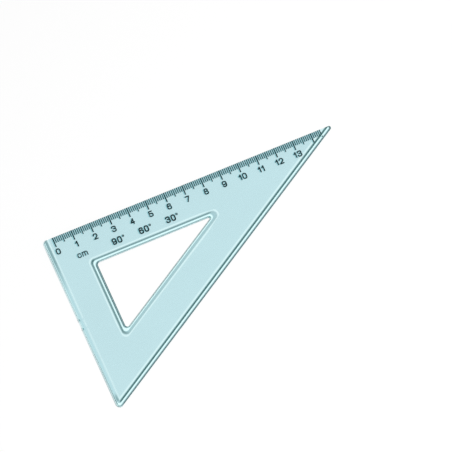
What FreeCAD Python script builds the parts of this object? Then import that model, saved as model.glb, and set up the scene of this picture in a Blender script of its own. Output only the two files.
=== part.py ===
import FreeCAD, Part
import math
import os

os.makedirs("parts", exist_ok=True)

# Drafting triangle, in millimetres. It lies flat, printed side up: the graduated long leg runs along +X
# and faces +Y, the short leg faces -X, and the origin is under the middle of its bounding box.

# Outline, between the sharp corners that the straight edges would meet in
long_leg = 158.65
tip_angle = 30
square_corner_radius = 1.8
wide_corner_radius = 1.8
tip_radius = 1.0

# Plate, and the borders that the window leaves
plate_thickness = 1.8
scale_border = 19.8
short_leg_border = 20.1
hypotenuse_border = 20.7
window_square_radius = 1.8
window_wide_radius = 1.4
window_tip_radius = 0.6

# Raised rim along the short leg and the hypotenuse, and all round the window
rim_width = 2.15
rim_rise = 0.45
rim_flank = 0.8
flank_steps = 6
rim_edge_radius = 0.4
panel_corner_radius = 0.4
window_rim_square_radius = 2.2
window_rim_wide_radius = 2.0
window_rim_tip_radius = 2.0

# Trimmed gate in the middle of the short leg, with a nick at each end
gate_place = 45.5
gate_length = 4.5
gate_recess = 0.12
nick_radius = 0.3

# Faint witness pad on the hypotenuse, placed from the wide corner
pad_place = 55.2
pad_length = 6.0
pad_rise = 0.08

# Printed scale, along the graduated edge
ink_thickness = 0.04
zero_place = 5.0
millimetre = 1.0
millimetre_mark_length = 3.0
half_mark_length = 4.0
centimetre_mark_length = 5.0
millimetre_mark_width = 0.45
half_mark_width = 0.5
centimetre_mark_width = 0.6
least_mark_share = 0.75

# Numerals under the centimetre marks
numeral_gap = 0.8
numeral_height = 3.15
numeral_width = 2.4
numeral_stroke = 0.62
digit_space = 0.45
narrow_share = 0.6
wide_letter_share = 1.5

# Legend between the numerals and the window: the unit, and the angles of the triangle
unit_place = 15.5
unit_height = 2.4
unit_width = 2.0
unit_stroke = 0.5
legend_place = 34.0
legend_step = 14.5
legend_height = 3.4
legend_width = 2.4
legend_stroke = 0.7
degree_radius = 0.6
degree_stroke = 0.4

# How far a cutting solid runs past the face that it cuts
overrun = 1.0

# Each character is drawn by pen strokes in a box one wide and one high, from its lower left corner.
# A stroke is open or a loop, and each of its points has the radius of its turn as a share of the width.
open_end, loop = False, True
stroke_shares = {
    "0": [(loop, [(0, 0, 0.44), (1, 0, 0.44), (1, 1, 0.44), (0, 1, 0.44)])],
    "1": [(open_end, [(0, 0.7, 0), (0.95, 1, 0), (0.95, 0, 0)])],
    "2": [(open_end, [(0, 0.78, 0), (0, 1, 0.4), (1, 1, 0.44), (1, 0.52, 0.3), (0, 0, 0), (1, 0, 0)])],
    "3": [(open_end, [(0, 0.82, 0), (0, 1, 0.3), (1, 1, 0.3), (1, 0.54, 0.3), (0.35, 0.54, 0)]),
          (open_end, [(0.35, 0.54, 0), (1, 0.54, 0.34), (1, 0, 0.36), (0, 0, 0.36), (0, 0.2, 0)])],
    "4": [(loop, [(0, 0.28, 0), (0.74, 0.28, 0), (0.74, 1, 0)]),
          (open_end, [(1, 0.28, 0), (0.74, 0.28, 0), (0.74, 0, 0)])],
    "5": [(open_end, [(0.92, 1, 0), (0.1, 1, 0), (0.04, 0.54, 0), (1, 0.6, 0.34), (1, 0, 0.36),
                      (0, 0, 0.36), (0, 0.18, 0)])],
    "6": [(loop, [(0, 0, 0.36), (1, 0, 0.36), (1, 0.58, 0.36), (0, 0.58, 0.36)]),
          (open_end, [(0, 0.3, 0), (0, 1, 0.44), (0.96, 1, 0.3), (0.96, 0.82, 0)])],
    "7": [(open_end, [(0, 1, 0), (1, 1, 0), (0.32, 0, 0)])],
    "8": [(loop, [(0, 0, 0.36), (1, 0, 0.36), (1, 0.53, 0.36), (0, 0.53, 0.36)]),
          (loop, [(0.07, 0.53, 0.3), (0.93, 0.53, 0.3), (0.93, 1, 0.3), (0.07, 1, 0.3)])],
    "9": [(loop, [(0, 0.42, 0.36), (1, 0.42, 0.36), (1, 1, 0.36), (0, 1, 0.36)]),
          (open_end, [(1, 0.7, 0), (1, 0, 0.44), (0.04, 0, 0.3), (0.04, 0.18, 0)])],
    "c": [(open_end, [(1, 0.78, 0), (1, 1, 0.4), (0, 1, 0.44), (0, 0, 0.44), (1, 0, 0.4), (1, 0.22, 0)])],
    "m": [(open_end, [(0, 0, 0), (0, 1, 0), (0.5, 1, 0.2), (0.5, 0, 0)]),
          (open_end, [(0.3, 1, 0), (1, 1, 0.2), (1, 0, 0)])],
}
width_shares = {"1": narrow_share, "m": wide_letter_share}

lean = math.radians(tip_angle)
short_leg = long_leg * math.tan(lean)
top = plate_thickness + rim_rise
numeral_depth = centimetre_mark_length + numeral_gap
legend_depth = (numeral_depth + numeral_height + scale_border - rim_width) / 2

# A rounded corner ends this many radii short of the sharp corner, measured along the triangle's leg
tip_reach = 1 / math.tan(lean / 2) - 1
wide_reach = 1 / math.tan((math.pi / 2 - lean) / 2) - 1
middle_along = (long_leg - tip_radius * tip_reach) / 2
middle_depth = (short_leg - wide_corner_radius * wide_reach) / 2


def at(along, depth, height):
    """A place, given along the graduated edge from the square corner, in from that edge, and up."""
    return FreeCAD.Vector(along - middle_along, middle_depth - depth, height)


def heading(start, end):
    run = (end[0] - start[0], end[1] - start[1])
    return (run[0] / math.hypot(*run), run[1] / math.hypot(*run))


def stepped(point, way, distance):
    return (point[0] + way[0] * distance, point[1] + way[1] * distance)


def turn(before, corner, after, radius):
    """Start, middle and end of the arc that rounds a corner."""
    back = heading(corner, before)
    ahead = heading(corner, after)
    half = math.acos(back[0] * ahead[0] + back[1] * ahead[1]) / 2
    inward = heading((0, 0), (back[0] + ahead[0], back[1] + ahead[1]))
    reach = radius / math.tan(half)
    apex = radius / math.sin(half) - radius
    return stepped(corner, back, reach), stepped(corner, inward, apex), stepped(corner, ahead, reach)


def rounded_path(points, radii, height, closed):
    """Wire of straight runs and arcs at one height, through points given along and in depth."""
    edges = []
    ends = []
    for index, (point, radius) in enumerate(zip(points, radii)):
        if not radius:
            ends.append((point, point))
            continue
        start, middle, end = turn(points[index - 1], point, points[(index + 1) % len(points)], radius)
        edges.append(Part.Arc(at(*start, height), at(*middle, height), at(*end, height)).toShape())
        ends.append((start, end))
    for index in range(0 if closed else 1, len(ends)):
        run_start = ends[index - 1][1]
        run_end = ends[index][0]
        edges.append(Part.LineSegment(at(*run_start, height), at(*run_end, height)).toShape())
    return Part.Wire(Part.__sortEdges__(edges))


def raised(face, thickness):
    return face.extrude(FreeCAD.Vector(0, 0, thickness))


def inset_corners(scale_gap, short_leg_gap, hypotenuse_gap):
    """Square corner, tip and wide corner of a triangle whose sides lie that far inside the outline."""
    span = long_leg * math.sin(lean) - hypotenuse_gap
    tip_along = (span - scale_gap * math.cos(lean)) / math.sin(lean)
    wide_depth = (span - short_leg_gap * math.sin(lean)) / math.cos(lean)
    return [(short_leg_gap, scale_gap), (tip_along, scale_gap), (short_leg_gap, wide_depth)]


def outer_outline(height):
    radii = (square_corner_radius, tip_radius, wide_corner_radius)
    return rounded_path(inset_corners(0, 0, 0), radii, height, True)


def window_corners(gap):
    return inset_corners(scale_border - gap, short_leg_border - gap, hypotenuse_border - gap)


def window_outline(height):
    radii = (window_square_radius, window_tip_radius, window_wide_radius)
    return rounded_path(window_corners(0), radii, height, True)


def panel_outline(gap, height):
    """Limit of the lowered panel, which runs out over the graduated edge."""
    radii = (0, 0, panel_corner_radius + rim_width - gap)
    return rounded_path(inset_corners(-overrun, gap, gap), radii, height, True)


def island_outline(gap, height):
    """Limit of the rim round the window."""
    radii = (window_rim_square_radius, window_rim_tip_radius, window_rim_wide_radius)
    grown = [radius * (gap + rim_width) / (rim_width + rim_width) for radius in radii]
    return rounded_path(window_corners(gap), grown, height, True)


def between_rims(limit):
    """Solid inside a limit that widens with height as the rim's curved flank does."""
    sections = []
    for step in range(flank_steps + 2):
        share = step / flank_steps
        climb = (1 - math.cos(math.pi * min(share, 1))) / 2 + max(share - 1, 0)
        sections.append(limit(rim_width - rim_flank * share, plate_thickness + rim_rise * climb))
    return Part.makeLoft(sections, True, True)


def blank():
    """Plate at the rim's full height, pierced by the window, with its upper edges rounded."""
    plate = raised(Part.Face(outer_outline(0)), top)
    window = raised(Part.Face(window_outline(-overrun)), top + 2 * overrun)
    pierced = plate.cut(window)
    upper = [edge for edge in pierced.Edges if edge.BoundBox.ZMin > plate_thickness]
    return pierced.makeFillet(rim_edge_radius, upper)


def gate_cut():
    start = gate_place - gate_length / 2
    end = gate_place + gate_length / 2
    recess = Part.makeBox(overrun + gate_recess, gate_length, top + overrun, at(-overrun, end, 0))
    nicks = [Part.makeCylinder(nick_radius, top + overrun, at(0, place, 0)) for place in (start, end)]
    return recess.multiFuse(nicks)


def witness_pad():
    """Low pad that stands out of the hypotenuse's side, under the rounded upper edge."""
    pad = Part.makeBox(pad_length, overrun + pad_rise, top - rim_edge_radius)
    pad.translate(FreeCAD.Vector(pad_place - pad_length / 2, -pad_rise, 0))
    pad.rotate(FreeCAD.Vector(0, 0, 0), FreeCAD.Vector(0, 0, 1), tip_angle)
    pad.translate(at(0, short_leg, 0))
    return pad


def moulded_body():
    panel = between_rims(panel_outline).cut(between_rims(island_outline))
    return blank().cut(panel).cut(gate_cut()).fuse(witness_pad()).removeSplitter()


def panel_depth(along):
    """How far the panel reaches in from the graduated edge, at a place along it."""
    return ((long_leg - along) * math.sin(lean) - rim_width) / math.cos(lean)


def line(along, length, width, height):
    corner = at(along - width / 2, length, height)
    return Part.makeBox(width, length, ink_thickness, corner)


def mark(along, length, width):
    """Printed line square to the graduated edge. A line that is too long stops at the rim's foot, and
    where it reaches as far as the rim's crest it prints there again."""
    panel = raised(Part.Face(panel_outline(rim_width, plate_thickness)), ink_thickness)
    below_crest = raised(Part.Face(panel_outline(rim_width - rim_flank, top)), ink_thickness)
    on_panel = line(along, length, width, plate_thickness).common(panel)
    on_crest = line(along, length, width, top).cut(below_crest)
    return on_panel.Solids + on_crest.Solids


def scale_marks():
    """Solids of the millimetre, half-centimetre and centimetre marks."""
    kinds = {"millimetre_marks": [], "half_centimetre_marks": [], "centimetre_marks": []}
    count = 0
    place = zero_place
    while panel_depth(place) > millimetre_mark_length * least_mark_share:
        if count % 10 == 0:
            kinds["centimetre_marks"] += mark(place, centimetre_mark_length, centimetre_mark_width)
        elif count % 5 == 0:
            kinds["half_centimetre_marks"] += mark(place, half_mark_length, half_mark_width)
        else:
            kinds["millimetre_marks"] += mark(place, millimetre_mark_length, millimetre_mark_width)
        count += 1
        place = zero_place + count * millimetre
    return kinds


def pen_stroke(points, radii, closed, stroke):
    path = rounded_path(points, radii, plate_thickness, closed)
    if not closed:
        return raised(path.makeOffset2D(stroke / 2, fill=True), ink_thickness)
    outside = Part.Face(path.makeOffset2D(stroke / 2))
    inside = Part.Face(path.makeOffset2D(-stroke / 2))
    return raised(outside.cut(inside), ink_thickness)


def character(name, left, depth, width, height, stroke):
    """One printed character, from its left side and its top."""
    box_width = width - stroke
    box_height = height - stroke
    strokes = []
    for closed, corners in stroke_shares[name]:
        points = [(left + stroke / 2 + box_width * across, depth + stroke / 2 + box_height * (1 - up))
                  for across, up, bend in corners]
        radii = [box_width * bend for across, up, bend in corners]
        strokes.append(pen_stroke(points, radii, closed, stroke))
    return strokes[0].multiFuse(strokes[1:]).removeSplitter() if strokes[1:] else strokes[0]


def text_width(text, width):
    return sum(width * width_shares.get(name, 1) for name in text) + digit_space * (len(text) - 1)


def printed(text, centre, depth, width, height, stroke):
    """Solids of a line of characters, centred along the graduated edge."""
    left = centre - text_width(text, width) / 2
    solids = []
    for name in text:
        own_width = width * width_shares.get(name, 1)
        solids += character(name, left, depth, own_width, height, stroke).Solids
        left += own_width + digit_space
    return solids


def numerals():
    """Each centimetre's numeral, as far as they fit between the scale and the rim."""
    found = {}
    count = 0
    while True:
        centre = zero_place + count * 10 * millimetre
        right = centre + text_width(str(count), numeral_width) / 2
        if panel_depth(right) < numeral_depth + numeral_height:
            return found
        found["numeral_%d" % count] = printed(str(count), centre, numeral_depth, numeral_width,
                                              numeral_height, numeral_stroke)
        count += 1


def degree_ring(centre, depth):
    place = at(centre, depth + degree_radius, plate_thickness)
    disc = Part.makeCylinder(degree_radius, ink_thickness, place)
    return disc.cut(Part.makeCylinder(degree_radius - degree_stroke, ink_thickness, place)).Solids


def angle_legend():
    """The triangle's three angles in degrees, from the square corner to the tip."""
    solids = []
    for index, angle in enumerate((90, 90 - tip_angle, tip_angle)):
        centre = legend_place + index * legend_step
        depth = legend_depth - legend_height / 2
        solids += printed(str(angle), centre, depth, legend_width, legend_height, legend_stroke)
        ring_place = centre + text_width(str(angle), legend_width) / 2 + digit_space + degree_radius
        solids += degree_ring(ring_place, depth)
    return solids


def export(name, solids):
    Part.makeCompound(solids).exportStep("parts/" + name + ".step")
    print(name, len(solids), all(solid.isValid() for solid in solids))


export("moulded_body", moulded_body().Solids)
for kind, solids in scale_marks().items():
    export(kind, solids)
for name, solids in numerals().items():
    export(name, solids)
export("unit_mark", printed("cm", unit_place, legend_depth - unit_height / 2, unit_width, unit_height,
                            unit_stroke))
export("angle_legend", angle_legend())
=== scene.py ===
import math

import bpy
from mathutils import Matrix, Vector


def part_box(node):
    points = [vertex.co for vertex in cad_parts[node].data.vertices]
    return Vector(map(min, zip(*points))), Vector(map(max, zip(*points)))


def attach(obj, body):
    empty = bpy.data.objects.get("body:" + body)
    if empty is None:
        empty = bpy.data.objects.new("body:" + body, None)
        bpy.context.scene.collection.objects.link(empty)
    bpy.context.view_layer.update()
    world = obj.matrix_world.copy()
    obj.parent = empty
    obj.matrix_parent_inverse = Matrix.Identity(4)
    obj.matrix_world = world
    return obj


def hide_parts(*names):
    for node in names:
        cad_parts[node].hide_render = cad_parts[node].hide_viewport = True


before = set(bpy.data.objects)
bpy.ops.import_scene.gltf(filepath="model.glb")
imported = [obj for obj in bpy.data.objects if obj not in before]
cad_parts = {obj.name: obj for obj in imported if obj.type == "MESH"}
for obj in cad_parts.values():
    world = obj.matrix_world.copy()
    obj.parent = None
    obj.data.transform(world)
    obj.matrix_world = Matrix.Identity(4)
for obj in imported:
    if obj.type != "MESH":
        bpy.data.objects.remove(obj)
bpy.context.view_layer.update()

bl_info = {
    "name": "Drafting triangle",
    "version": (1, 0, 0),
    "blender": (4, 5, 0),
    "location": "3D View > Sidebar > Triangle",
    "description": "Clear plastic drafting triangle with a printed centimetre scale",
    "category": "Add Mesh",
}

BODY_NODE = "moulded_body"
INK_NODES = sorted(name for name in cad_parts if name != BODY_NODE)
BODY_LOW, BODY_HIGH = (Vector(corner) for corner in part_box(BODY_NODE))
MM = 0.001

# The moulding's sizes that the shading follows
LEG_X = BODY_LOW.x
SCALE_Y = BODY_HIGH.y
TOP = BODY_HIGH.z
PLATE = 1.8 * MM
EDGE_RADIUS = 0.4 * MM
RIM_WIDTH = 2.15 * MM
RIM_FLANK = 0.8 * MM

# The panel is cut at these distances from a rim's wall, in millimetres, beside sides longer than
# SIDE_LENGTH, and the rim's light reaches as far as the last cut. EVENED is how far the rims are
# shaded as if level. A wall's face larger than FLAT_WALL is part of a straight side and is shaded
# flat, and elsewhere edges up to SMOOTH_ANGLE are shaded smooth.
LOOP_GAPS = (2.35, 2.5, 2.7, 3.1, 3.6)
RIM_REACH = LOOP_GAPS[-1] * MM
SIDE_LENGTH = 20 * MM
EVENED = 0.9
FLAT_WALL = 3 * MM ** 2
SMOOTH_ANGLE = math.radians(30)

# What tells faces apart: a wall faces up by less than WALL_UP and the underside by less than
# UNDER_UP, and two directions are the same where their product is over SAME_WAY. Heights and
# places have room for rounding, loose triangles are joined within MERGE_GAP, and nothing is
# divided by less than NOT_ZERO.
WALL_UP = 0.05
UNDER_UP = -0.5
SAME_WAY = 0.999
ROUNDING = 1e-6
PLACE_ROUNDING = 1e-5
MERGE_GAP = 1e-7
NOT_ZERO = 1e-18

# Names of what the faces carry: the distance in from the rim's wall, in millimetres, with values
# of their own for walls and underside, and how strong the rim's two lines of painted shade are
# there
WAY = "rim_way"
WALL_WAY = -1.0
UNDER_WAY = -2.0
EDGE_LINE = "edge_line"
FLANK_LINE = "flank_line"

# Direction that a wall faces in degrees, then strength of the line at its edge and of the line on
# its flank. Both lines are painted shade on the glass's colour and also stop light on the floor,
# and their strength by side stands in for how the softbox's light falls on that side. Over 1 the
# edge's line gets wider, because its darkness is held at full.
LINE_TURNS = ((-180, 1.5, 0.6), (-179, 1.0, 0.2), (-105, 1.0, 0.25), (-90, 0.62, 0.65),
              (-60, 0.95, 1.0), (0, 1.5, 0.78), (120, 0.82, 0.27), (179, 0.5, 0.2),
              (180, 1.5, 0.6))

# Distance along the short leg from its square corner in millimetres, then what is left of the
# edge's line, the flank's line and the gathered light. The gate's two nicks are at 43 and 48,
# where the edge's line is held full as the nicks' painted shade.
LEG_ROWS = ((0, 0.1, 1, 1), (3, 0.17, 1, 1), (7, 0.32, 0.97, 0.9), (12, 0.28, 0.95, 0.6),
            (20, 0.2, 0.5, 0.55), (28, 0.15, 0.08, 0.6), (42.6, 0.15, 0, 0.6), (42.9, 1, 0, 0),
            (43.6, 1, 0, 0), (43.9, 0.13, 0, 0.5), (47.1, 0.13, 0, 0.5), (47.4, 1, 0, 0),
            (48.1, 1, 0, 0), (48.4, 0.17, 0, 0.5), (55, 0.21, 0, 0.5), (74, 0.4, 0, 0.5),
            (83, 0.43, 0, 0.5), (85, 0.45, 0.8, 0.5), (88, 0.55, 1, 1), (88.6, 0.75, 1, 1),
            (92, 0.75, 1, 1))

# Distance in from the rim's wall, then how far light is stopped at the edge, stopped on the flank,
# and gathered
LIGHT_ROWS = ((-2.0, 0, 0, 0), (-1.5, 0, 0, 0), (-1.0, 0.1, 0, 0), (-0.5, 0.1, 0, 0),
              (0.0, 0.65, 0, 0), (0.36, 0.65, 0, 0), (0.46, 0, 0, 0), (0.65, 0, 0, 1),
              (1.15, 0, 0, 1), (1.25, 0, 0, 0), (1.4, 0, 1, 0), (2.05, 0, 1, 0), (2.3, 0, 0.6, 0),
              (2.5, 0, 0, 0), (2.7, 0, 0, 0.45), (3.1, 0, 0, 0.45), (3.6, 0, 0, 0), (6.0, 0, 0, 0))

# Distance in from the rim's wall, then the painted shade of the edge's line, the painted shade of
# the flank's line, and how far a wall's glass is left out of what the eye sees
EYE_ROWS = ((-2.0, 0, 0, 0), (-1.5, 0, 0, 0), (-1.0, 0.1, 0, 0.8), (-0.5, 0.1, 0, 0.8),
            (0.0, 0.8, 0, 0), (0.1, 1, 0, 0), (0.4, 1, 0, 0), (0.48, 0, 0, 0), (1.6, 0, 0, 0),
            (1.75, 0, 0.6, 0), (2.05, 0, 0.6, 0), (2.15, 0, 0, 0), (6.0, 0, 0, 0))

# Distance in from the rim's wall, then extra roughness of the wall and of the worn edge, and where
# the wall is
GRAIN_ROWS = ((-2.0, 0, 0), (-1.5, 0, 0), (-1.0, 0.25, 1), (-0.5, 0.25, 1), (0.0, 0.05, 0),
              (0.4, 0, 0), (6.0, 0, 0))

# What the edge and the flank take from the light, and the colours of their painted shade on the
# glass. Where the rim gathers light, it takes less than nothing.
EDGE_COLOUR = (1.0, 0.93, 0.93)
FLANK_COLOUR = (1.0, 0.86, 0.87)
GATHER_COLOUR = (-0.8, -0.55, -0.46)

# The dull look of the walls: how it shows from a slant to straight on, its darker patches and
# their size in millimetres, roughness
WALL_FACING = (0.72, 0.4)
WALL_PATCH = 0.75
WALL_GRAIN = 1.5
WALL_ROUGH = (0.3, 0.5)

# The levels between which a noise mostly lies, and the detail of a cloudy one
NOISE_LEVELS = (0.3, 0.7)
CLOUD_DETAIL = 3.0


class TrianglePlasticSettings(bpy.types.PropertyGroup):
    tint: bpy.props.FloatVectorProperty(
        name="Tint", description="Colour that light takes on its way through the plastic",
        default=(0.023, 0.591, 0.677), size=3, min=0, max=1, subtype="COLOR")
    density: bpy.props.FloatProperty(
        name="Density", description="How strongly the plastic takes up light, per metre",
        default=172.0, min=0)
    ior: bpy.props.FloatProperty(
        name="Index", description="Index of refraction of the plastic",
        default=1.49, min=1, max=2)
    roughness: bpy.props.FloatProperty(
        name="Roughness", description="Roughness of the polished faces",
        default=0.02, min=0, max=1, subtype="FACTOR")
    wall_colour: bpy.props.FloatVectorProperty(
        name="Wall colour",
        description="Colour of the moulding's walls, which gather tint, seen from the side",
        default=(0.22, 0.62, 0.68), size=3, min=0, max=1, subtype="COLOR")
    wear: bpy.props.FloatProperty(
        name="Wear", description="How much the faces are scratched and smudged",
        default=0.5, min=0, max=1, subtype="FACTOR")


class TriangleInkSettings(bpy.types.PropertyGroup):
    colour: bpy.props.FloatVectorProperty(
        name="Ink", description="Colour of the print",
        default=(0.003, 0.012, 0.014), size=3, min=0, max=1, subtype="COLOR")
    thin_colour: bpy.props.FloatVectorProperty(
        name="Thin ink", description="Colour of the print where the ink lies thinly",
        default=(0.03, 0.07, 0.076), size=3, min=0, max=1, subtype="COLOR")
    shade: bpy.props.FloatVectorProperty(
        name="Shade", description="Light that each face of the thin print lets through",
        default=(0.7, 0.86, 0.88), size=3, min=0, max=1, subtype="COLOR")
    wear: bpy.props.FloatProperty(
        name="Wear", description="How much the print is scratched",
        default=0.6, min=0, max=1, subtype="FACTOR")


class TriangleStageSettings(bpy.types.PropertyGroup):
    floor: bpy.props.FloatVectorProperty(
        name="Floor", description="Colour of the floor",
        default=(0.97, 0.97, 0.97), size=3, min=0, max=1, subtype="COLOR")
    room: bpy.props.FloatProperty(
        name="Room light", description="Strength of the even light of the room",
        default=0.15, min=0)
    softbox: bpy.props.FloatProperty(
        name="Softbox", description="Power of the softbox",
        default=59.0, min=0, subtype="POWER", unit="POWER")
    softbox_size: bpy.props.FloatProperty(
        name="Softbox size", description="Side of the square softbox",
        default=0.2, min=0.01, unit="LENGTH")
    softbox_distance: bpy.props.FloatProperty(
        name="Softbox distance", description="Distance from the softbox to the triangle",
        default=2.5, min=0.1, unit="LENGTH")
    softbox_tilt: bpy.props.FloatProperty(
        name="Softbox tilt", description="How far the softbox hangs from straight above",
        default=math.radians(11.6), subtype="ANGLE")
    softbox_turn: bpy.props.FloatProperty(
        name="Softbox turn", description="Side on which the softbox hangs, from +X",
        default=math.radians(-54), subtype="ANGLE")
    azimuth: bpy.props.FloatProperty(
        name="Azimuth", description="Side from which the camera looks, from +X",
        default=math.radians(218.2), subtype="ANGLE")
    elevation: bpy.props.FloatProperty(
        name="Elevation", description="Height of the camera over the floor",
        default=math.radians(72.93), subtype="ANGLE")
    roll: bpy.props.FloatProperty(
        name="Roll", description="Turn of the camera about its line of sight",
        default=math.radians(28.39), subtype="ANGLE")
    distance: bpy.props.FloatProperty(
        name="Distance", description="Distance from the camera to the square corner's plane",
        default=4.0, unit="LENGTH")
    frame_width: bpy.props.FloatProperty(
        name="Frame", description="Width that the picture takes in at the triangle",
        default=0.2207, unit="LENGTH")


def settings():
    """The scene, which carries the groups of settings."""
    return bpy.context.scene


def new_material(name):
    material = bpy.data.materials.new(name)
    material.use_nodes = True
    material.node_tree.nodes.clear()
    return material


def node(tree, kind, place, **values):
    made = tree.nodes.new(kind)
    made.location = place
    for key, value in values.items():
        setattr(made, key, value)
    return made


def feed(tree, socket, value):
    """Sets a socket to a value, or links it to another socket."""
    if isinstance(value, bpy.types.NodeSocket):
        tree.links.new(value, socket)
    else:
        socket.default_value = value


def calculate(tree, operation, place, *inputs, clamp=False):
    made = node(tree, "ShaderNodeMath", place, operation=operation, use_clamp=clamp)
    for socket, value in zip(made.inputs, inputs):
        feed(tree, socket, value)
    return made.outputs["Value"]


def remap(tree, value, start, end, place, low=0.0, high=1.0):
    made = node(tree, "ShaderNodeMapRange", place)
    feed(tree, made.inputs["Value"], value)
    for name, level in (("From Min", start), ("From Max", end), ("To Min", low), ("To Max", high)):
        made.inputs[name].default_value = level
    return made.outputs["Result"]


def ramp(tree, value, rows, place):
    """Two or three levels that follow a value through rows of value and levels."""
    start, end = rows[0][0], rows[-1][0]
    share = remap(tree, value, start, end, (place[0] - 200, place[1]))
    made = node(tree, "ShaderNodeValToRGB", place)
    tree.links.new(share, made.inputs["Fac"])
    band = made.color_ramp
    while len(band.elements) > 1:
        band.elements.remove(band.elements[-1])
    for index, (at, *levels) in enumerate(rows):
        where = (at - start) / (end - start)
        stop = band.elements[0] if index == 0 else band.elements.new(where)
        stop.position = where
        stop.color = (*levels, 1) if len(levels) == 3 else (*levels, 0, 1)
    split = node(tree, "ShaderNodeSeparateColor", (place[0] + 280, place[1]))
    tree.links.new(made.outputs["Color"], split.inputs["Color"])
    return [split.outputs[name] for name in ("Red", "Green", "Blue")[:len(rows[0]) - 1]]


def attribute(tree, name, place):
    return node(tree, "ShaderNodeAttribute", place, attribute_name=name).outputs["Fac"]


def object_place(tree, place):
    return node(tree, "ShaderNodeTexCoord", place).outputs["Object"]


def noise(tree, vector, scale, detail, place):
    made = node(tree, "ShaderNodeTexNoise", place)
    tree.links.new(vector, made.inputs["Vector"])
    made.inputs["Scale"].default_value = scale
    made.inputs["Detail"].default_value = detail
    return made.outputs["Fac"]


def bump(tree, height, distance, place):
    made = node(tree, "ShaderNodeBump", place)
    made.inputs["Distance"].default_value = distance
    tree.links.new(height, made.inputs["Height"])
    return made.outputs["Normal"]


def mix_colours(tree, share, first, second, place):
    made = node(tree, "ShaderNodeMixRGB", place)
    tree.links.new(share, made.inputs["Fac"])
    made.inputs["Color1"].default_value = (*first, 1)
    made.inputs["Color2"].default_value = (*second, 1)
    return made.outputs["Color"]


def mix_shaders(tree, share, first, second, place):
    made = node(tree, "ShaderNodeMixShader", place)
    tree.links.new(share, made.inputs["Fac"])
    tree.links.new(first, made.inputs[1])
    tree.links.new(second, made.inputs[2])
    return made.outputs["Shader"]


# Scratches: turn in degrees, length and width in millimetres, and the noise level above which they
# show. Then sizes and noise levels of smudges and dust, how soft the edges of scratches and dust
# are, and how much of the height is the smudges' cloud.
SCRATCH_SETS = ((12, 14.0, 0.09, 0.69), (-38, 9.0, 0.07, 0.71), (71, 20.0, 0.12, 0.7))
SCRATCH_DETAIL = 1.0
SMUDGE_SIZE = 28.0
SMUDGE_LEVELS = (0.35, 0.7)
DUST_SIZE = 0.9
DUST_LEVEL = 0.74
DUST_DETAIL = 0.0
SOFT_EDGE = 0.05
CLOUD_HEIGHT = 0.5


def wear_group():
    """Fine scratches, smudges and specks, which the plastic and the print share. They lie in the
    plane of the plate and are placed in the object's own coordinates."""
    tree = bpy.data.node_groups.new("surface_wear", "ShaderNodeTree")
    tree.interface.new_socket(name="Vector", in_out="INPUT", socket_type="NodeSocketVector")
    tree.interface.new_socket(name="Amount", in_out="INPUT", socket_type="NodeSocketFloat")
    for name in ("Scratches", "Smudges", "Specks", "Height"):
        tree.interface.new_socket(name=name, in_out="OUTPUT", socket_type="NodeSocketFloat")
    start = node(tree, "NodeGroupInput", (-1200, 0))
    end = node(tree, "NodeGroupOutput", (900, 0))
    spot, amount = start.outputs["Vector"], start.outputs["Amount"]
    lines = 0.0
    for index, (turn, length, width, level) in enumerate(SCRATCH_SETS):
        low = 400 - 300 * index
        stretch = node(tree, "ShaderNodeMapping", (-900, low), vector_type="POINT")
        stretch.inputs["Rotation"].default_value = (0, 0, math.radians(turn))
        stretch.inputs["Scale"].default_value = (1 / (length * MM), 1 / (width * MM), 1)
        tree.links.new(spot, stretch.inputs["Vector"])
        streak = noise(tree, stretch.outputs["Vector"], 1.0, SCRATCH_DETAIL, (-650, low))
        cut = remap(tree, streak, level, level + SOFT_EDGE, (-400, low))
        lines = calculate(tree, "MAXIMUM", (-150, low), cut, lines)
    scratches = calculate(tree, "MULTIPLY", (150, 400), lines, amount)
    cloud = noise(tree, spot, 1 / (SMUDGE_SIZE * MM), CLOUD_DETAIL, (-650, -500))
    smudge = remap(tree, cloud, *SMUDGE_LEVELS, (-400, -500))
    smudges = calculate(tree, "MULTIPLY", (150, -500), smudge, amount)
    dust = noise(tree, spot, 1 / (DUST_SIZE * MM), DUST_DETAIL, (-650, -800))
    speck = remap(tree, dust, DUST_LEVEL, DUST_LEVEL + SOFT_EDGE, (-400, -800))
    specks = calculate(tree, "MULTIPLY", (150, -800), speck, amount)
    grain = calculate(tree, "MULTIPLY_ADD", (400, -200), cloud, CLOUD_HEIGHT, 1 - CLOUD_HEIGHT)
    height = calculate(tree, "SUBTRACT", (600, -100), grain, scratches)
    for name, value in (("Scratches", scratches), ("Smudges", smudges), ("Specks", specks),
                        ("Height", height)):
        tree.links.new(value, end.inputs[name])
    return tree


def place_wear(tree, spot, amount, place):
    """Puts the shared wear group into a material."""
    group = bpy.data.node_groups.get("surface_wear") or wear_group()
    made = node(tree, "ShaderNodeGroup", place, node_tree=group)
    tree.links.new(spot, made.inputs["Vector"])
    made.inputs["Amount"].default_value = amount
    return made.outputs


def rim_lines(tree, spot):
    """How strong the painted shade lines at the wall and on the flank are here, and how much light
    the rim gathers. Along the short leg they fade."""
    split = node(tree, "ShaderNodeSeparateXYZ", (-1500, -700))
    tree.links.new(spot, split.inputs["Vector"])
    on_leg = calculate(tree, "LESS_THAN", (-1300, -600), split.outputs["X"], LEG_X + RIM_REACH)
    gone = calculate(tree, "MULTIPLY_ADD", (-1300, -800), split.outputs["Y"],
                     -1 / MM, SCALE_Y / MM)
    kept = []
    for index, fade in enumerate(ramp(tree, gone, LEG_ROWS, (-900, -800))):
        low = -600 - 200 * index
        lost = calculate(tree, "SUBTRACT", (-450, low), fade, 1.0)
        kept.append(calculate(tree, "MULTIPLY_ADD", (-250, low), on_leg, lost, 1.0))
    *faded, gathered = kept
    edge, flank = (calculate(tree, "MULTIPLY", (-50, low),
                             attribute(tree, name, (-250, low + 100)), fade)
                   for name, fade, low in zip((EDGE_LINE, FLANK_LINE), faded, (-600, -800)))
    return edge, flank, gathered


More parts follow.
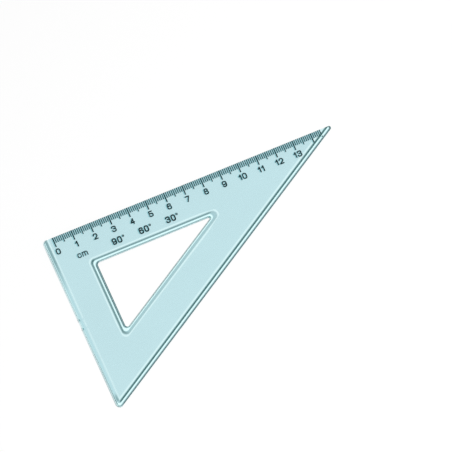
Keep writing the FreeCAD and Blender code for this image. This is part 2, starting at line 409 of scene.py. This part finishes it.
def darkened(tree, amounts, place):
    """White, less amounts of darkness that each have a colour of their own."""
    level = (1, 1, 1)
    for index, (amount, colour) in enumerate(amounts):
        across = place[0] + 180 * index
        part = node(tree, "ShaderNodeVectorMath", (across, place[1] - 150), operation="SCALE")
        part.inputs[0].default_value = colour
        tree.links.new(amount, part.inputs["Scale"])
        made = node(tree, "ShaderNodeVectorMath", (across, place[1]), operation="SUBTRACT")
        feed(tree, made.inputs[0], level)
        tree.links.new(part.outputs["Vector"], made.inputs[1])
        level = made.outputs["Vector"]
    return level


# How strongly wear shows on the plastic
SMUDGE_DARK = 0.04
SPECK_DARK = 0.12
SCRATCH_DARK = 0.1
SMUDGE_ROUGH = 0.03
SCRATCH_ROUGH = 0.25
PLASTIC_BUMP = 0.0015 * MM


def wall_look(tree, own, grain, mask):
    """The moulding's dull wall, and how much of it shows: most where the eye looks straight at
    the wall."""
    patch = [level * WALL_PATCH for level in own.wall_colour]
    colour = mix_colours(tree, grain, own.wall_colour, patch, (300, 1300))
    shader = node(tree, "ShaderNodeBsdfPrincipled", (550, 1300))
    tree.links.new(colour, shader.inputs["Base Color"])
    rough = remap(tree, grain, *NOISE_LEVELS, (300, 1100), *WALL_ROUGH)
    tree.links.new(rough, shader.inputs["Roughness"])
    facing = node(tree, "ShaderNodeLayerWeight", (-50, 1100)).outputs["Facing"]
    shown = remap(tree, facing, *WALL_FACING, (150, 1100))
    return shader.outputs["BSDF"], calculate(tree, "MULTIPLY", (400, 1100), shown, mask)


def seen_plastic(tree, own, spot, way, edge, flank):
    """What the eye sees: glass with wear and the rim's lines of painted shade on it, and the dull
    walls.
    """
    wear = place_wear(tree, spot, own.wear, (-600, 900))
    edge_shade_painted, flank_shade_painted, clear = ramp(tree, way, EYE_ROWS, (-900, 300))
    film = calculate(tree, "MULTIPLY", (-200, 500), wear["Specks"], SPECK_DARK)
    film = calculate(tree, "MULTIPLY_ADD", (-50, 500), wear["Smudges"], SMUDGE_DARK, film)
    film = calculate(tree, "MULTIPLY_ADD", (0, 600), wear["Scratches"], SCRATCH_DARK, film)
    # The rim's edge and flank lines are painted shade on the glass's colour; the film is real
    # smudges, specks and scratches.
    edge_shade_and_wear = calculate(tree, "MULTIPLY_ADD", (100, 400), edge_shade_painted, edge, film, clamp=True)
    shaded = calculate(tree, "MULTIPLY", (100, 200), flank_shade_painted, flank)
    base = darkened(tree, ((edge_shade_and_wear, EDGE_COLOUR), (shaded, FLANK_COLOUR)), (300, 400))
    dull, is_wall = ramp(tree, way, GRAIN_ROWS, (-900, 600))
    rough = calculate(tree, "ADD", (-200, 700), dull, own.roughness)
    rough = calculate(tree, "MULTIPLY_ADD", (-50, 700), wear["Smudges"], SMUDGE_ROUGH, rough)
    rough = calculate(tree, "MULTIPLY_ADD", (100, 700), wear["Scratches"], SCRATCH_ROUGH, rough)
    glass = node(tree, "ShaderNodeBsdfPrincipled", (700, 300))
    glass.inputs["IOR"].default_value = own.ior
    glass.inputs["Transmission Weight"].default_value = 1
    tree.links.new(base, glass.inputs["Base Color"])
    tree.links.new(rough, glass.inputs["Roughness"])
    uneven = bump(tree, wear["Height"], PLASTIC_BUMP, (450, 900))
    tree.links.new(uneven, glass.inputs["Normal"])
    nothing = node(tree, "ShaderNodeBsdfTransparent", (700, -100)).outputs["BSDF"]
    wall = mix_shaders(tree, clear, glass.outputs["BSDF"], nothing, (1000, 200))
    grain = noise(tree, spot, 1 / (WALL_GRAIN * MM), CLOUD_DETAIL, (-600, 1300))
    dull_wall, shown = wall_look(tree, own, grain, is_wall)
    return mix_shaders(tree, shown, wall, dull_wall, (1150, 300))


def passed_light(tree, way, edge, flank, gathered):
    """The light that falls on the floor, with the lines that the rims' edges and flanks throw."""
    edge_stops, flank_stops, gathers = ramp(tree, way, LIGHT_ROWS, (-900, -200))
    at_edge = calculate(tree, "MULTIPLY", (100, -300), edge_stops, edge, clamp=True)
    at_flank = calculate(tree, "MULTIPLY", (100, -450), flank_stops, flank)
    added = calculate(tree, "MULTIPLY", (100, -600), gathers, gathered)
    falls = darkened(tree, ((at_edge, EDGE_COLOUR), (at_flank, FLANK_COLOUR),
                            (added, GATHER_COLOUR)), (300, -300))
    passed = node(tree, "ShaderNodeBsdfTransparent", (800, -400))
    tree.links.new(falls, passed.inputs["Color"])
    return passed.outputs["BSDF"]


def plastic_material():
    """Clear tinted plastic. What the eye sees is glass, with the rims' lines as painted shade on
    its colour, but the light that falls on the floor comes straight through it."""
    own = settings().triangle_plastic
    material = new_material("clear_cyan_plastic")
    tree = material.node_tree
    spot = object_place(tree, (-1800, -300))
    way = attribute(tree, WAY, (-1500, 0))
    edge, flank, gathered = rim_lines(tree, spot)
    seen = seen_plastic(tree, own, spot, way, edge, flank)
    passed = passed_light(tree, way, edge, flank, gathered)
    path = node(tree, "ShaderNodeLightPath", (700, 700))
    lamp = calculate(tree, "MAXIMUM", (1000, 600), path.outputs["Is Shadow Ray"],
                     path.outputs["Is Diffuse Ray"])
    surface = mix_shaders(tree, lamp, seen, passed, (1200, 0))
    inside = node(tree, "ShaderNodeVolumeAbsorption", (1000, -400))
    inside.inputs["Color"].default_value = (*own.tint, 1)
    inside.inputs["Density"].default_value = own.density
    out = node(tree, "ShaderNodeOutputMaterial", (1400, 0))
    tree.links.new(surface, out.inputs["Surface"])
    tree.links.new(inside.outputs["Volume"], out.inputs["Volume"])
    return material


# The print: depth of its grain, sizes of grain and thin patches in millimetres, the noise levels
# of the patches, roughness and gloss
INK_BUMP = 0.006 * MM
INK_GRAIN = 0.35
INK_GRAIN_DETAIL = 2.0
INK_PATCH = 3.0
INK_PATCH_LEVELS = (0.4, 0.65)
INK_ROUGH = (0.38, 0.62)
INK_SPECULAR = 0.2


def ink_material():
    """Satin print, thinner in patches, lightly scratched. It shades the floor only a little, as it
    is thin."""
    own = settings().triangle_ink
    material = new_material("printed_ink")
    tree = material.node_tree
    spot = object_place(tree, (-1100, 0))
    wear = place_wear(tree, spot, own.wear, (-800, 400))
    patch = noise(tree, spot, 1 / (INK_PATCH * MM), CLOUD_DETAIL, (-800, 100))
    grain = noise(tree, spot, 1 / (INK_GRAIN * MM), INK_GRAIN_DETAIL, (-800, -200))
    worn = calculate(tree, "MAXIMUM", (-550, 400), wear["Scratches"], wear["Specks"])
    pale = remap(tree, patch, *INK_PATCH_LEVELS, (-550, 100))
    pale = calculate(tree, "MULTIPLY", (-400, 100), pale, grain)
    thin = calculate(tree, "MAXIMUM", (-250, 300), pale, worn)
    colour = mix_colours(tree, thin, own.colour, own.thin_colour, (-100, 200))
    rough = remap(tree, grain, *NOISE_LEVELS, (-100, -50), *INK_ROUGH)
    uneven = bump(tree, grain, INK_BUMP, (-100, -350))
    shader = node(tree, "ShaderNodeBsdfPrincipled", (200, 0))
    shader.inputs["Specular IOR Level"].default_value = INK_SPECULAR
    for name, value in (("Base Color", colour), ("Roughness", rough), ("Normal", uneven)):
        tree.links.new(value, shader.inputs[name])
    passed = node(tree, "ShaderNodeBsdfTransparent", (200, -500))
    passed.inputs["Color"].default_value = (*own.shade, 1)
    shadow = node(tree, "ShaderNodeLightPath", (200, 400)).outputs["Is Shadow Ray"]
    surface = mix_shaders(tree, shadow, shader.outputs["BSDF"], passed.outputs["BSDF"], (550, 0))
    out = node(tree, "ShaderNodeOutputMaterial", (750, 0))
    tree.links.new(surface, out.inputs["Surface"])
    return material


def foot_lines(mesh):
    """The underside's outlines in plan, of the part and of its window, each line with the way its
    wall faces."""
    lines = []
    for face in mesh.polygons:
        if abs(face.normal.z) < WALL_UP:
            for key in face.edge_keys:
                start, end = (mesh.vertices[index].co for index in key)
                if max(start.z, end.z) < ROUNDING:
                    lines.append((start.xy, end.xy, face.normal.xy.normalized()))
    return lines


def on_scale_edge(line):
    return all(abs(place.y - SCALE_Y) < ROUNDING for place in line[:2])


def rimmed_sides(lines):
    """A point on each long straight side that has a rim, and the way that the side faces."""
    sides = []
    for start, end, facing in lines:
        if (end - start).length > SIDE_LENGTH and not on_scale_edge((start, end)):
            if not any(facing.dot(other) > SAME_WAY
                       and abs((start - place).dot(facing)) < PLACE_ROUNDING
                       for place, other in sides):
                sides.append((start, facing))
    return sides


def nearest_line(point, lines):
    """Distance from a point to the nearest of the lines, and the way that its wall faces."""
    least, facing = math.inf, None
    for start, end, normal in lines:
        run = end - start
        share = max(0, min(1, (point - start).dot(run) / max(run.length_squared, NOT_ZERO)))
        gap = (point - start - run * share).length
        if gap < least:
            least, facing = gap, normal
    return least, facing


def select_faces(mesh, wanted):
    """In object mode, selects only the faces for which wanted(face) is true."""
    for group in (mesh.vertices, mesh.edges, mesh.polygons):
        group.foreach_set("select", [False] * len(group))
    for face in mesh.polygons:
        face.select = wanted(face)


def on_plate(face):
    """Whether a face lies level on the plate's top."""
    return face.normal.z > SAME_WAY and abs(face.center.z - PLATE) < PLACE_ROUNDING


def add_loops(mesh):
    """Cuts the panel along lines beside each rim, so that the shading there can change."""
    for point, facing in rimmed_sides(foot_lines(mesh)):
        for gap in LOOP_GAPS:
            place = (*(point - facing * gap * MM), 0)
            select_faces(mesh, on_plate)
            bpy.ops.object.mode_set(mode="EDIT")
            bpy.ops.mesh.bisect(plane_co=place, plane_no=(*facing, 0))
            bpy.ops.object.mode_set(mode="OBJECT")


def face_kind(face, sides):
    """Which part of the moulding a face belongs to, and the way that the wall beside it faces."""
    if face.normal.z < UNDER_UP:
        return "underside", face.normal.xy
    if abs(face.normal.z) < WALL_UP:
        return "wall", face.normal.xy
    gap, facing = nearest_line(face.center.xy, sides)
    if face.normal.z > SAME_WAY:
        if face.center.z > (PLATE + TOP) / 2:
            return "crest", facing
        return ("panel" if gap > RIM_REACH else "foot"), facing
    slope = face.normal.xy.normalized()
    return ("edge", slope) if slope.dot(facing) > 0 else ("flank", -slope)


def line_strength(facing):
    """How strong the painted shade lines of the edge and the flank are beside a wall that faces
    that way.
    """
    turn = math.degrees(math.atan2(facing.y, facing.x))
    for (start, *low), (end, *high) in zip(LINE_TURNS, LINE_TURNS[1:]):
        if turn <= end:
            share = (turn - start) / (end - start)
            return [first + (last - first) * share for first, last in zip(low, high)]


def corner_way(kind, place, on_flank, outlines, rim_foot):
    """Distance in from the rim's wall, in millimetres, at a corner of a face of that kind."""
    if kind == "underside":
        return UNDER_WAY
    if kind == "wall":
        return WALL_WAY
    if kind == "edge":
        return min(nearest_line(place.xy, outlines)[0], EDGE_RADIUS) / MM
    if kind == "crest":
        return (RIM_WIDTH - RIM_FLANK if on_flank else EDGE_RADIUS) / MM
    if kind == "flank":
        climb = max(0, min(1, (place.z - PLATE) / (TOP - PLATE)))
        return (RIM_WIDTH - RIM_FLANK * math.acos(1 - 2 * climb) / math.pi) / MM
    return (RIM_WIDTH + nearest_line(place.xy, rim_foot)[0]) / MM


def mark_rims(mesh):
    """Writes the rim's distances and the strength of its painted shade lines on the corners of the
    faces, and evens out the shading of the rims."""
    outlines = foot_lines(mesh)
    rimmed = [line for line in outlines if not on_scale_edge(line)]
    kinds = [face_kind(face, rimmed) for face in mesh.polygons]
    flanks = [(face, facing) for face, (kind, facing) in zip(mesh.polygons, kinds)
              if kind == "flank"]
    on_flank = {index for face, facing in flanks for index in face.vertices}
    rim_foot = []
    for face, facing in flanks:
        for key in face.edge_keys:
            start, end = (mesh.vertices[index].co for index in key)
            if max(start.z, end.z) < PLATE + ROUNDING:
                rim_foot.append((start.xy, end.xy, facing))
    for name in (WAY, EDGE_LINE, FLANK_LINE):
        mesh.attributes.new(name, "FLOAT", "CORNER")
    ways, edges, shoulders = (mesh.attributes[name].data for name in (WAY, EDGE_LINE, FLANK_LINE))
    up = Vector((0, 0, 1))
    normals = [Vector(corner.vector) for corner in mesh.corner_normals]
    for face, (kind, facing) in zip(mesh.polygons, kinds):
        edge, flank = line_strength(facing) if kind not in ("underside", "panel") else (0, 0)
        for corner, index in zip(face.loop_indices, face.vertices):
            place = mesh.vertices[index].co
            ways[corner].value = corner_way(kind, place, index in on_flank, outlines, rim_foot)
            edges[corner].value = edge
            shoulders[corner].value = flank
            if kind in ("crest", "flank", "foot", "panel"):
                normals[corner] = normals[corner].lerp(up, EVENED).normalized()
            elif kind == "underside":
                normals[corner] = -up
            elif kind == "wall" and face.area > FLAT_WALL:
                normals[corner] = face.normal.copy()
    mesh.normals_split_custom_set(normals)


def body_piece():
    """A merged copy of the moulded body, with loops beside its rims and what its shading follows
    written on it."""
    bpy.ops.object.select_all(action="DESELECT")
    piece = bpy.data.objects.new("clear_body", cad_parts[BODY_NODE].data.copy())
    bpy.context.scene.collection.objects.link(piece)
    bpy.context.view_layer.objects.active = piece
    piece.select_set(True)
    bpy.ops.object.mode_set(mode="EDIT")
    bpy.ops.mesh.select_all(action="SELECT")
    bpy.ops.mesh.remove_doubles(threshold=MERGE_GAP)
    bpy.ops.mesh.select_mode(type="FACE")
    bpy.ops.object.mode_set(mode="OBJECT")
    add_loops(piece.data)
    bpy.ops.object.shade_smooth_by_angle(angle=SMOOTH_ANGLE)
    mark_rims(piece.data)
    return piece


def dress(mesh, material):
    """Gives a mesh one material in place of its own."""
    mesh.materials.clear()
    mesh.materials.append(material)


class TRIANGLE_OT_body(bpy.types.Operator):
    """Gives the moulded body its clear plastic"""
    bl_idname = "triangle.body"
    bl_label = "Moulded body"

    def execute(self, context):
        piece = body_piece()
        dress(piece.data, plastic_material())
        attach(piece, "root")
        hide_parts(BODY_NODE)
        return {"FINISHED"}


class TRIANGLE_OT_print(bpy.types.Operator):
    """Gives the printed scale and numerals their ink"""
    bl_idname = "triangle.print"
    bl_label = "Print"

    def execute(self, context):
        ink = ink_material()
        for name in INK_NODES:
            dress(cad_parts[name].data, ink)
        return {"FINISHED"}


# The picture's width, and where it shows the sharp square corner, in pixels from its upper left.
# Then the sensor's width in millimetres and the camera's reach in metres.
FRAME_PIXELS = 452
CORNER_PIXEL = (42.5, 242.62)
SENSOR = 36
NEAREST, FARTHEST = 0.1, 30


def place_camera():
    own = settings().triangle_stage
    turn, rise, roll = own.azimuth, own.elevation, own.roll
    back = Vector((math.cos(rise) * math.cos(turn), math.cos(rise) * math.sin(turn),
                   math.sin(rise)))
    level_up = Vector((-math.sin(rise) * math.cos(turn), -math.sin(rise) * math.sin(turn),
                       math.cos(rise)))
    level_side = level_up.cross(back)
    side = math.cos(roll) * level_side + math.sin(roll) * level_up
    up = -math.sin(roll) * level_side + math.cos(roll) * level_up
    pixel = own.frame_width / FRAME_PIXELS
    across = (CORNER_PIXEL[0] - FRAME_PIXELS / 2) * pixel
    above = (FRAME_PIXELS / 2 - CORNER_PIXEL[1]) * pixel
    corner = Vector((LEG_X, SCALE_Y, 0))
    place = corner - side * across - up * above + back * own.distance
    data = bpy.data.cameras.new("camera")
    data.sensor_width = SENSOR
    data.lens = SENSOR * own.distance / own.frame_width
    data.clip_start = NEAREST
    data.clip_end = FARTHEST
    camera = bpy.data.objects.new("camera", data)
    turned = Matrix((side, up, back)).transposed().to_4x4()
    camera.matrix_world = Matrix.Translation(place) @ turned
    bpy.context.scene.collection.objects.link(camera)
    bpy.context.scene.camera = camera


# The floor's side in metres, its gap under the part, the size of its tooth in millimetres, how
# much darker that is, roughness and gloss
FLOOR_SIZE = 6.0
FLOOR_GAP = 0.05 * MM
FLOOR_GRAIN = 4.0
FLOOR_TOOTH = 0.004
FLOOR_ROUGH = (0.75, 0.9)
FLOOR_SPECULAR = 0.0


def floor_material():
    """Matt white card with a barely visible tooth. From below it does not show, so the underside
    can be seen."""
    own = settings().triangle_stage
    material = new_material("white_card")
    tree = material.node_tree
    spot = object_place(tree, (-700, 0))
    tooth = noise(tree, spot, 1 / (FLOOR_GRAIN * MM), CLOUD_DETAIL, (-500, 0))
    darker = [level - FLOOR_TOOTH for level in own.floor]
    colour = mix_colours(tree, tooth, own.floor, darker, (-50, 100))
    shader = node(tree, "ShaderNodeBsdfPrincipled", (200, 0))
    tree.links.new(colour, shader.inputs["Base Color"])
    rough = remap(tree, tooth, *NOISE_LEVELS, (-50, -100), *FLOOR_ROUGH)
    tree.links.new(rough, shader.inputs["Roughness"])
    shader.inputs["Specular IOR Level"].default_value = FLOOR_SPECULAR
    below = node(tree, "ShaderNodeNewGeometry", (200, 400)).outputs["Backfacing"]
    nothing = node(tree, "ShaderNodeBsdfTransparent", (200, 150)).outputs["BSDF"]
    surface = mix_shaders(tree, below, shader.outputs["BSDF"], nothing, (500, 0))
    out = node(tree, "ShaderNodeOutputMaterial", (700, 0))
    tree.links.new(surface, out.inputs["Surface"])
    return material


def lay_floor():
    bpy.ops.object.select_all(action="DESELECT")
    bpy.ops.mesh.primitive_plane_add(size=FLOOR_SIZE, location=(0, 0, -FLOOR_GAP))
    floor = bpy.context.object
    floor.name = "floor"
    floor.data.materials.append(floor_material())


def hang_softbox():
    own = settings().triangle_stage
    tilt, turn = own.softbox_tilt, own.softbox_turn
    way = Vector((math.sin(tilt) * math.cos(turn), math.sin(tilt) * math.sin(turn),
                  math.cos(tilt)))
    data = bpy.data.lights.new("softbox", "AREA")
    data.shape = "SQUARE"
    data.size = own.softbox_size
    data.energy = own.softbox
    lamp = bpy.data.objects.new("softbox", data)
    lamp.location = way * own.softbox_distance
    lamp.rotation_euler = way.to_track_quat("Z", "Y").to_euler()
    lamp.visible_glossy = False
    lamp.visible_transmission = False
    bpy.context.scene.collection.objects.link(lamp)


def light_room():
    """Even dim light on the object, in front of a background of strength 1, which looks white."""
    own = settings().triangle_stage
    world = bpy.data.worlds.new("room")
    world.use_nodes = True
    tree = world.node_tree
    tree.nodes.clear()
    path = node(tree, "ShaderNodeLightPath", (-600, 0))
    mirrored = calculate(tree, "MAXIMUM", (-500, -200), path.outputs["Is Glossy Ray"],
                         path.outputs["Is Transmission Ray"])
    seen = calculate(tree, "MAXIMUM", (-400, 0), path.outputs["Is Camera Ray"], mirrored)
    back = node(tree, "ShaderNodeBackground", (0, 0))
    strength = remap(tree, seen, 0, 1, (-200, 0), own.room, 1.0)
    tree.links.new(strength, back.inputs["Strength"])
    out = node(tree, "ShaderNodeOutputWorld", (200, 0))
    tree.links.new(back.outputs["Background"], out.inputs["Surface"])
    bpy.context.scene.world = world


class TRIANGLE_OT_stage(bpy.types.Operator):
    """Lays the floor, hangs the softbox, lights the room and places the camera"""
    bl_idname = "triangle.stage"
    bl_label = "Stage"

    def execute(self, context):
        lay_floor()
        hang_softbox()
        light_room()
        place_camera()
        context.scene.view_settings.view_transform = "Standard"
        context.scene.cycles.blur_glossy = 0
        context.scene.cycles.denoising_prefilter = "NONE"
        return {"FINISHED"}


class TRIANGLE_PT_panel(bpy.types.Panel):
    """Steps that build the triangle"""
    bl_label = "Drafting triangle"
    bl_idname = "TRIANGLE_PT_panel"
    bl_space_type = "VIEW_3D"
    bl_region_type = "UI"
    bl_category = "Triangle"

    def draw(self, context):
        for step in STEPS:
            self.layout.operator(step)


SETTINGS = {"triangle_plastic": TrianglePlasticSettings, "triangle_ink": TriangleInkSettings,
            "triangle_stage": TriangleStageSettings}
OPERATORS = (TRIANGLE_OT_body, TRIANGLE_OT_print, TRIANGLE_OT_stage)
STEPS = [operator.bl_idname for operator in OPERATORS]


def register():
    for kind in (*SETTINGS.values(), *OPERATORS, TRIANGLE_PT_panel):
        bpy.utils.register_class(kind)
    for name, kind in SETTINGS.items():
        setattr(bpy.types.Scene, name, bpy.props.PointerProperty(type=kind))


def unregister():
    for name in SETTINGS:
        delattr(bpy.types.Scene, name)
    for kind in (TRIANGLE_PT_panel, *OPERATORS, *SETTINGS.values()):
        bpy.utils.unregister_class(kind)


def main():
    register()
    bpy.ops.triangle.body()
    bpy.ops.triangle.print()
    bpy.ops.triangle.stage()


if __name__ == "__main__":
    main()
